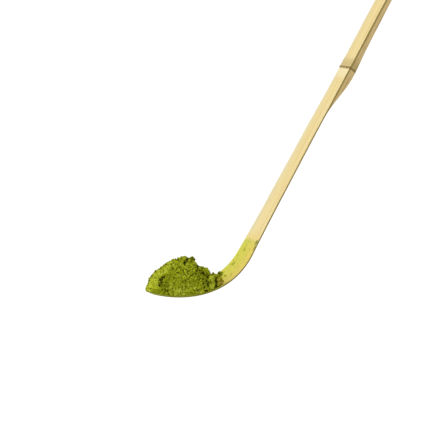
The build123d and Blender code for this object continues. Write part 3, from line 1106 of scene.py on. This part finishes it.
# dust left on the bamboo: it thins out up the bend, and some clings along the bowl's rim; sizes in mm
dust = {
    "onBend": 420,
    "bend": (23.5, 19.0),  # from the tip, and the run to the last of it
    "thinning": 1.7,
    "bendWide": 0.95,  # of half the width
    "bendCrowd": 0.75,  # below 1 crowds it towards one edge
    "onRim": 620,
    "rim": (0.2, 27.0),  # from past the trimmed tip, to this far from the tip
    "rimIn": (0.02, 0.3),  # from the edge: least, and how much more
    "size": (0.04, 0.13),
    "sizePower": 2.5,
    "proud": 0.25,  # of a grain's radius
}


def teaDust(rng):
    bendFrom, bendRun = dust["bend"]
    s = bendFrom + bendRun * rng.random(dust["onBend"]) ** dust["thinning"]
    across = stripHalf(s) * dust["bendWide"] * (2 * rng.random(len(s)) ** dust["bendCrowd"] - 1)
    rimFrom, rimTo = dust["rim"]
    rimS = rng.uniform(strip["tipTrim"] + rimFrom, rimTo, dust["onRim"])
    least, more = dust["rimIn"]
    rim = rng.choice([-1, 1], len(rimS)) * (stripHalf(rimS) - least - more * rng.random(len(rimS)) ** 2)
    s, across = np.concatenate([s, rimS]), np.concatenate([across, rim])
    sizes = grainSizes(dust, len(s), rng)
    spots = stripPoint(s, across, frontHeight(s, across) + sizes * dust["proud"])
    grainPiece("teaDust", "scoop", spots, sizes, 0.0, rng)


teaDust(grainRng)

# white paper far below and soft light from the upper left, as on the photograph
studio = {
    "floorDrop": 260.0,  # mm below the bowl: the scoop is held up, not laid down
    "floorHalf": 12.0,  # m
    "paper": ("C9C9C6", "CDCDCB"),
    "paperMottle": 26.667,  # mm; paper fibres are near 1 mm long, drawn coarser to show
    "paperGlow": 0.55,
    "ambient": 0.39,
    # strength, direction it comes from, spread in degrees
    "lamps": {"keyLamp": (1.84, (-0.70, -0.08, 0.71), 32), "fillLamp": (0.6, (-0.35, -0.85, 0.4), 70)},
    "lampAway": 0.6,  # m
    # the camera's place in mm and degrees, lens and sensor in mm, clip in m
    "target": (-64.374, 0.195, -74.954),
    "azimuth": -30.0,
    "elevation": 10.0,
    "distance": 520.0,
    "lens": 140.4,
    "sensor": 36.0,
    "clip": (0.01, 50.0),
}


# 1 where the camera, or a shiny or clear surface, looks straight at it
def seenStraight(tree):
    path = addNode(tree, "LightPath", {}).outputs
    gloss = addNode(tree, "Math", {
        "operation": "MAXIMUM", 0: path["Is Glossy Ray"], 1: path["Is Transmission Ray"],
    })
    return addNode(tree, "Math", {"operation": "MAXIMUM", 0: path["Is Camera Ray"], 1: gloss})


# matt paper, pressed smooth: grey enough to bounce little light up, lifted to white where the camera sees it
def paperMaterial():
    material, tree = newMaterial("paperPressedMatt")
    patches = 2 * studio["floorHalf"] / (studio["paperMottle"] * mm)
    mottle = addNode(tree, "TexNoise", {"Scale": patches, "Detail": 2.0})
    dark, light = (paint(code) for code in studio["paper"])
    tint = addNode(tree, "Mix", {"data_type": "RGBA", 0: mottle, 6: dark, 7: light})
    matt = addNode(tree, "BsdfDiffuse", {"Color": tint})
    glow = addNode(tree, "Emission", {"Strength": studio["paperGlow"]})
    lifted = addNode(tree, "AddShader", {0: matt, 1: glow})
    mix = addNode(tree, "MixShader", {0: seenStraight(tree), 1: matt, 2: lifted})
    addNode(tree, "OutputMaterial", {"Surface": mix})
    return material


def paperFloor():
    level, half = cadBounds[0].z - studio["floorDrop"] * mm, studio["floorHalf"]
    corners = [(x * half, y * half, level) for x, y in ((-1, -1), (1, -1), (1, 1), (-1, 1))]
    mesh = bpy.data.meshes.new("paperFloor")
    mesh.from_pydata(corners, [], [(0, 1, 2, 3)])
    mesh.materials.append(paperMaterial())
    floor = bpy.data.objects.new("paperFloor", mesh)
    bpy.context.scene.collection.objects.link(floor)


def whiteWorld():
    world = bpy.data.worlds.new("studioWhite")
    world.use_nodes = True
    tree = world.node_tree
    tree.nodes.clear()
    white = paint("FFFFFF")
    soft = addNode(tree, "Background", {"Color": white, "Strength": studio["ambient"]})
    plain = addNode(tree, "Background", {"Color": white, "Strength": 1.0})
    mix = addNode(tree, "MixShader", {0: seenStraight(tree), 1: soft, 2: plain})
    addNode(tree, "OutputWorld", {"Surface": mix})
    bpy.context.scene.world = world


# puts a lamp or the camera in its place
def setUp(name, data, location, turn):
    holder = bpy.data.objects.new(name, data)
    holder.rotation_mode = "QUATERNION"
    holder.rotation_quaternion = turn
    holder.location = location
    bpy.context.scene.collection.objects.link(holder)
    return holder


def softLamps():
    for name, (strength, way, spread) in studio["lamps"].items():
        lamp = bpy.data.lights.new(name, "SUN")
        lamp.energy = strength
        lamp.angle = radians(spread)
        setUp(name, lamp, Vector(way) * studio["lampAway"], Vector(way).to_track_quat("Z", "Y"))


def photoCamera():
    around, up = radians(studio["azimuth"]), radians(studio["elevation"])
    look = Vector((-sin(around) * cos(up), cos(around) * cos(up), -sin(up)))
    camera = bpy.data.cameras.new("camera")
    camera.lens = studio["lens"]
    camera.sensor_width = studio["sensor"]
    camera.clip_start, camera.clip_end = studio["clip"]
    place = (Vector(studio["target"]) - look * studio["distance"]) * mm
    bpy.context.scene.camera = setUp("camera", camera, place, look.to_track_quat("-Z", "Y"))


bpy.context.scene.view_settings.view_transform = "Standard"
paperFloor()
whiteWorld()
softLamps()
photoCamera()
print("studio set")
